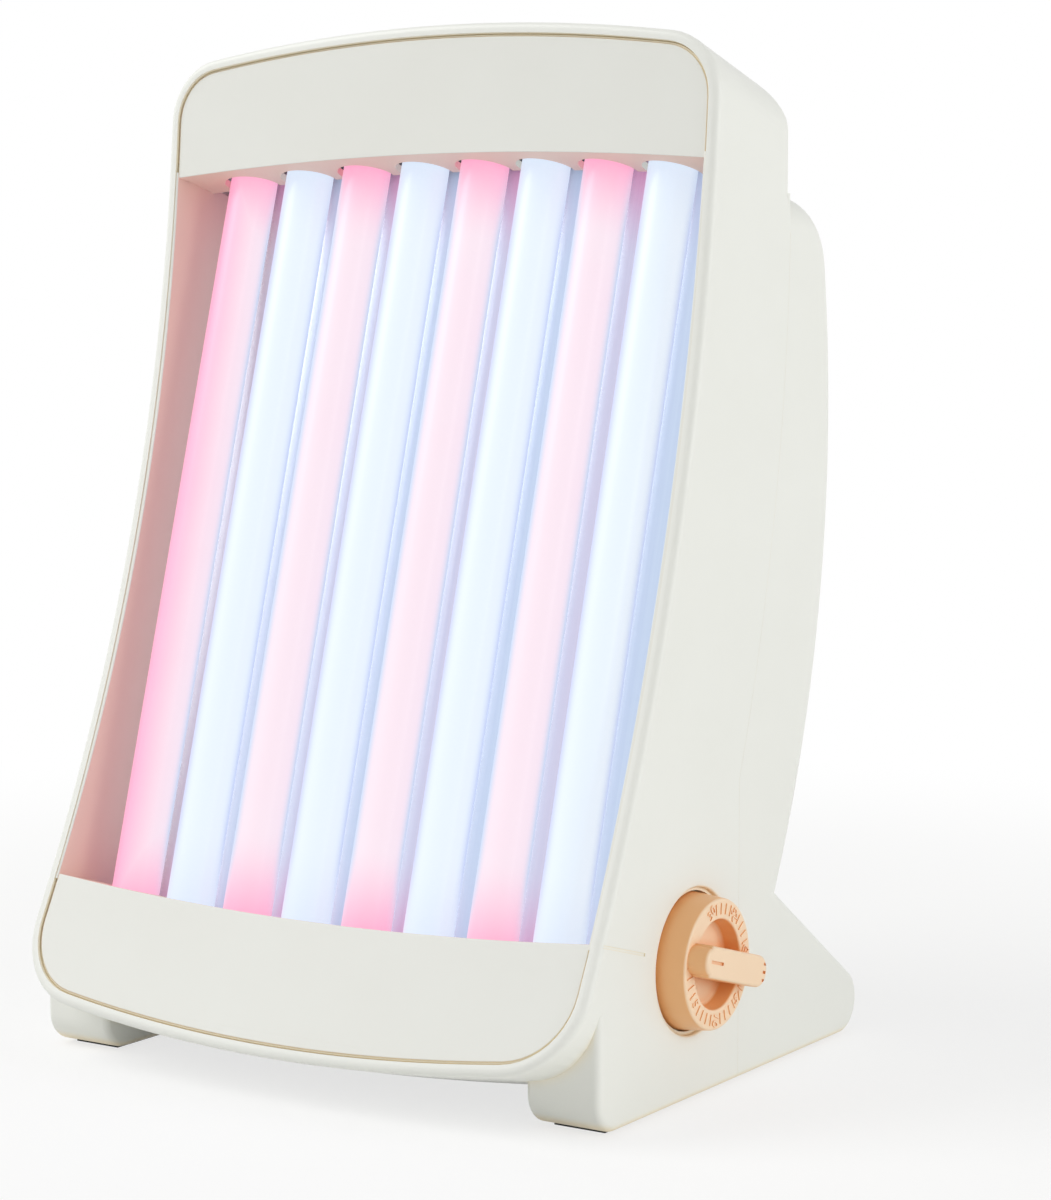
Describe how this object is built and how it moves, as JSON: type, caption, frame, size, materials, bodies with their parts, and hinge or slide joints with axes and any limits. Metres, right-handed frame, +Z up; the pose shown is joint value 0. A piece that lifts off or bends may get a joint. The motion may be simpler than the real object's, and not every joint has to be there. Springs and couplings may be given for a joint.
{
  "type": "tanning lamp",
  "caption": "Table-top facial tanning lamp: a white leaning casing on fixed feet, a panel of straight tubes before a reflector, and a turning timer knob on its side.",
  "frame": {"origin": "middle of the overall box, on the table, knob included", "axes": "+X to the right as seen by the user, towards the timer knob; +Y to the back; +Z up"},
  "size_m": [0.233, 0.1904, 0.3391],
  "materials": {
    "casing_plastic": "moulded white ABS, fine satin grain",
    "surround_plastic": "moulded white ABS, satin",
    "reflector_sheet": "polished aluminium sheet",
    "chassis_steel": "zinc-plated sheet steel",
    "holder_plastic": "white moulded thermoplastic",
    "red_tube_glass": "phosphor-coated glass, glowing pink",
    "uv_tube_glass": "phosphor-coated glass, glowing blue-white",
    "cap_metal": "satin aluminium",
    "pin_brass": "bright brass",
    "ballast_iron": "varnished laminated iron",
    "starter_plastic": "moulded canister",
    "terminal_plastic": "moulded nylon",
    "rubber": "soft black rubber",
    "timer_plastic": "moulded case",
    "timer_brass": "stamped brass",
    "shaft_steel": "turned steel",
    "knob_plastic": "moulded peach plastic, satin",
    "screw_steel": "zinc-plated steel"
  },
  "bodies": {
    "casing": {"front_casing": "casing_plastic", "rear_casing": "casing_plastic", "lamp_surround": "surround_plastic", "reflector": "reflector_sheet", "chassis_plate": "chassis_steel", "upper_holder_rail": "chassis_steel", "lower_holder_rail": "chassis_steel", "upper_lampholders": "holder_plastic", "lower_lampholders": "holder_plastic", "red_tube_1": "red_tube_glass", "uv_tube_1": "uv_tube_glass", "red_tube_2": "red_tube_glass", "uv_tube_2": "uv_tube_glass", "red_tube_3": "red_tube_glass", "uv_tube_3": "uv_tube_glass", "red_tube_4": "red_tube_glass", "uv_tube_4": "uv_tube_glass", "tube_caps": "cap_metal", "tube_pins": "pin_brass", "ballast_1": "ballast_iron", "ballast_2": "ballast_iron", "ballast_3": "ballast_iron", "ballast_4": "ballast_iron", "starter_sockets": "holder_plastic", "starters": "starter_plastic", "terminal_block": "terminal_plastic", "cord_gland": "rubber", "rubber_feet": "rubber", "timer_front_plate": "chassis_steel", "timer_case": "timer_plastic", "timer_contacts": "timer_brass", "casing_screws": "screw_steel", "chassis_screws": "screw_steel", "ballast_screws": "screw_steel", "timer_screws": "screw_steel", "terminal_screws": "screw_steel"},
    "timer_spindle": {"timer_shaft": "shaft_steel", "timer_wheel": "timer_brass", "timer_cam": "timer_plastic", "timer_knob": "knob_plastic"},
    "timer_arbor": {"timer_escapement": "timer_brass"}
  },
  "joints": [
    {"name": "timer_turn", "type": "hinge", "parent": "casing", "child": "timer_spindle", "pos_m": [0.1015, -0.01723, 0.04437], "axis": [-1, 0, 0], "range_deg": [0, 300]},
    {"name": "arbor_turn", "type": "hinge", "parent": "casing", "child": "timer_arbor", "pos_m": [0.0845, -0.00362, 0.05201], "axis": [-1, 0, 0], "range_deg": [-1505, 5]}
  ],
  "couplings": [
    {"joint": "arbor_turn", "follows": "timer_turn", "ratio": -5}
  ]
}
